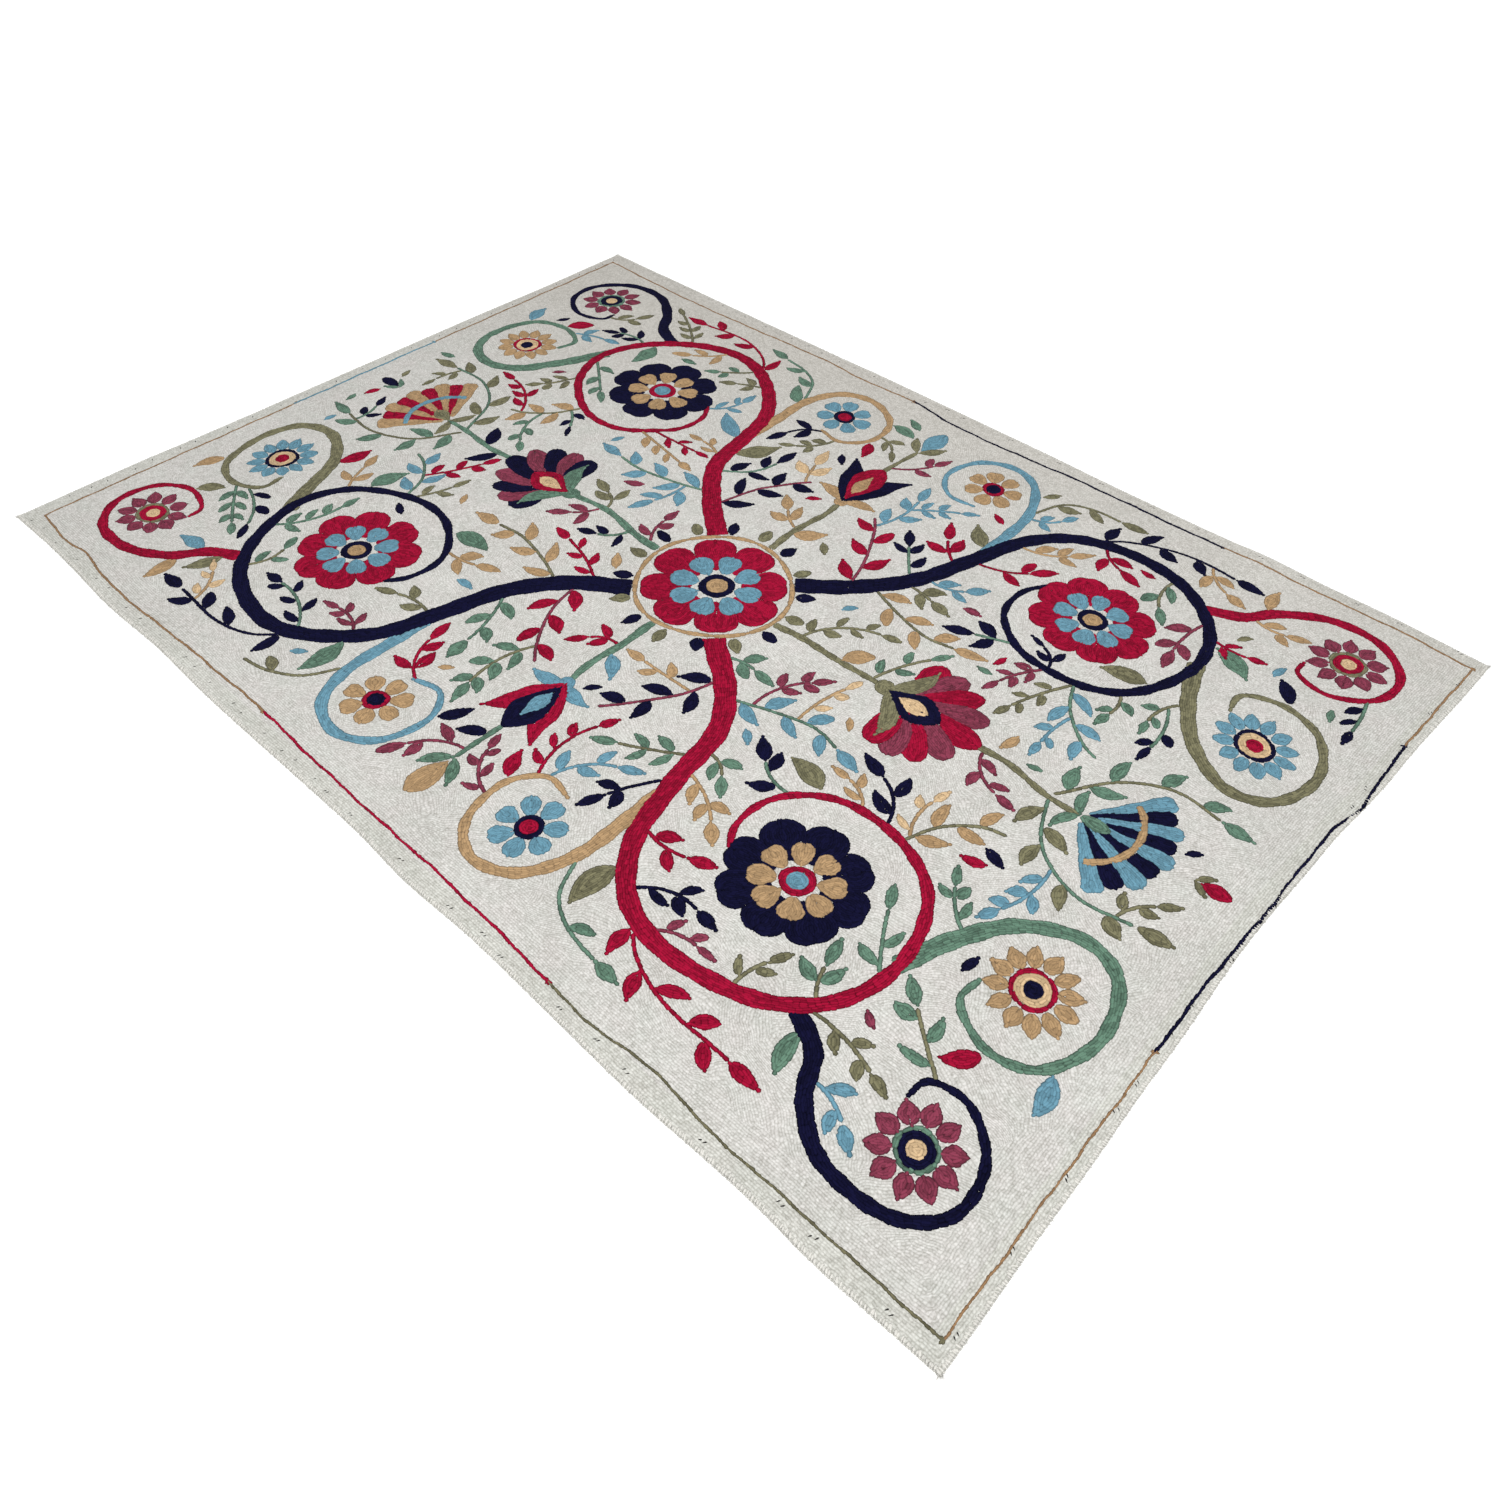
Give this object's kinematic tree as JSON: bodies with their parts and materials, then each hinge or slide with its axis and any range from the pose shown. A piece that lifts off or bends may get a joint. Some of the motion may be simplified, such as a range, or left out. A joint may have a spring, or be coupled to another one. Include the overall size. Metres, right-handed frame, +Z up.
{
  "type": "embroidered kilim rug",
  "caption": "Flat rectangular woven rug covered in chain stitch, with a turned hem, a stitched border line and low storage folds, for lying on a floor.",
  "frame": {"origin": "on the floor under the middle of the rug's bounding box", "axes": "+X along the rug's length, +Y along its width, +Z up, out of the stitched face"},
  "size_m": [2.403, 1.713, 0.0114],
  "materials": {
    "ground_wool": "off-white wool chain stitch over a woven ground, matt",
    "yarn_crimson": "crimson wool yarn, chain stitch",
    "yarn_navy": "navy wool yarn, chain stitch",
    "yarn_sky": "sky blue wool yarn, chain stitch",
    "yarn_tan": "tan and sand wool yarn, chain stitch",
    "yarn_olive": "olive wool yarn, chain stitch",
    "yarn_sage": "sage green wool yarn, chain stitch",
    "yarn_plum": "plum wool yarn, chain stitch"
  },
  "bodies": {
    "root": {"rug_cloth": "ground_wool"}
  },
  "joints": []
}
